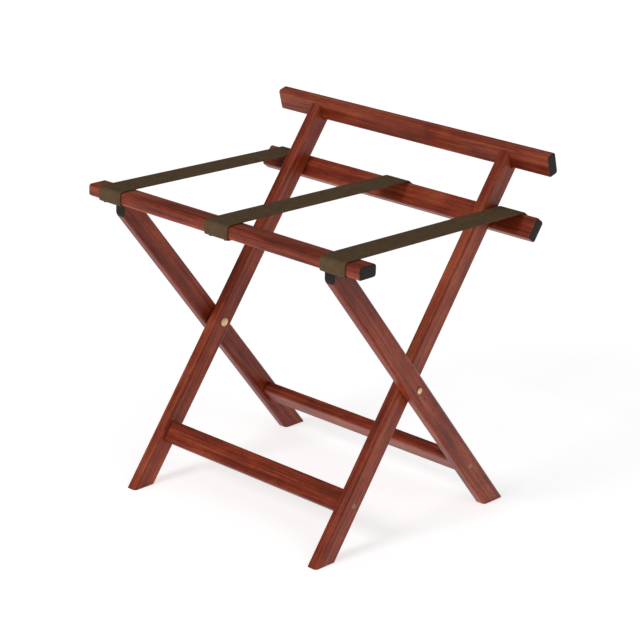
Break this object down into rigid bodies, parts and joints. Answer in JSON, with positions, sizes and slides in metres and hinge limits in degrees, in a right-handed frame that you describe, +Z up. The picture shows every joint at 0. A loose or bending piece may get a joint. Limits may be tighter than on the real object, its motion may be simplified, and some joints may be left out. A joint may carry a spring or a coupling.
{
  "type": "folding luggage rack",
  "caption": "Folding wooden luggage rack: crossed leg frames on a pivot, webbing straps between the top rails, and a raised guard rail at the back.",
  "frame": {"origin": "On the floor, under the middle of the opened rack's bounding box.", "axes": "+Z up, +Y towards the raised guard rail at the back, +X to the right seen from the front; the pivot line runs along X."},
  "size_m": [0.596, 0.4818, 0.6191],
  "materials": {
    "mahogany": "red mahogany stain under gloss varnish, end grain stained nearly black",
    "plug_wood": "varnished wooden plug, lighter than the boards",
    "webbing": "ribbed dark brown polypropylene webbing, matt",
    "brass": "plain turned brass, slightly worn",
    "screw_steel": "zinc-plated wood screw",
    "black_tack": "black japanned upholstery tack",
    "nylon": "natural nylon washer"
  },
  "bodies": {
    "inner_frame": {"inner_leg_left": "mahogany", "inner_leg_right": "mahogany", "rear_rail": "mahogany", "guard_rail": "mahogany", "front_stretcher": "mahogany", "front_stretcher_screw_left": "screw_steel", "front_stretcher_plug_left": "plug_wood", "rear_rail_lower_screw_left": "screw_steel", "rear_rail_upper_screw_left": "screw_steel", "guard_rail_screw_left": "screw_steel", "guard_rail_plug_left": "plug_wood", "front_stretcher_screw_right": "screw_steel", "front_stretcher_plug_right": "plug_wood", "rear_rail_lower_screw_right": "screw_steel", "rear_rail_upper_screw_right": "screw_steel", "guard_rail_screw_right": "screw_steel", "guard_rail_plug_right": "plug_wood", "strap_left": "webbing", "strap_left_rear_tack_left": "black_tack", "strap_left_rear_tack_right": "black_tack", "strap_middle": "webbing", "strap_middle_rear_tack_left": "black_tack", "strap_middle_rear_tack_right": "black_tack", "strap_right": "webbing", "strap_right_rear_tack_left": "black_tack", "strap_right_rear_tack_right": "black_tack"},
    "outer_frame": {"outer_leg_left": "mahogany", "outer_leg_right": "mahogany", "front_rail": "mahogany", "rear_stretcher": "mahogany", "front_rail_screw_left": "screw_steel", "rear_stretcher_screw_left": "screw_steel", "rear_stretcher_plug_left": "plug_wood", "pivot_barrel_nut_left": "brass", "pivot_bolt_left": "brass", "pivot_washer_left": "nylon", "front_rail_screw_right": "screw_steel", "rear_stretcher_screw_right": "screw_steel", "rear_stretcher_plug_right": "plug_wood", "pivot_barrel_nut_right": "brass", "pivot_bolt_right": "brass", "pivot_washer_right": "nylon", "strap_left_front_tack_left": "black_tack", "strap_left_front_tack_right": "black_tack", "strap_middle_front_tack_left": "black_tack", "strap_middle_front_tack_right": "black_tack", "strap_right_front_tack_left": "black_tack", "strap_right_front_tack_right": "black_tack"}
  },
  "joints": [
    {"name": "fold", "type": "hinge", "parent": "inner_frame", "child": "outer_frame", "pos_m": [0, -0.01465, 0.256], "axis": [-1, 0, 0], "range_deg": [0, 66], "deforming": ["strap_left", "strap_middle", "strap_right"]}
  ]
}
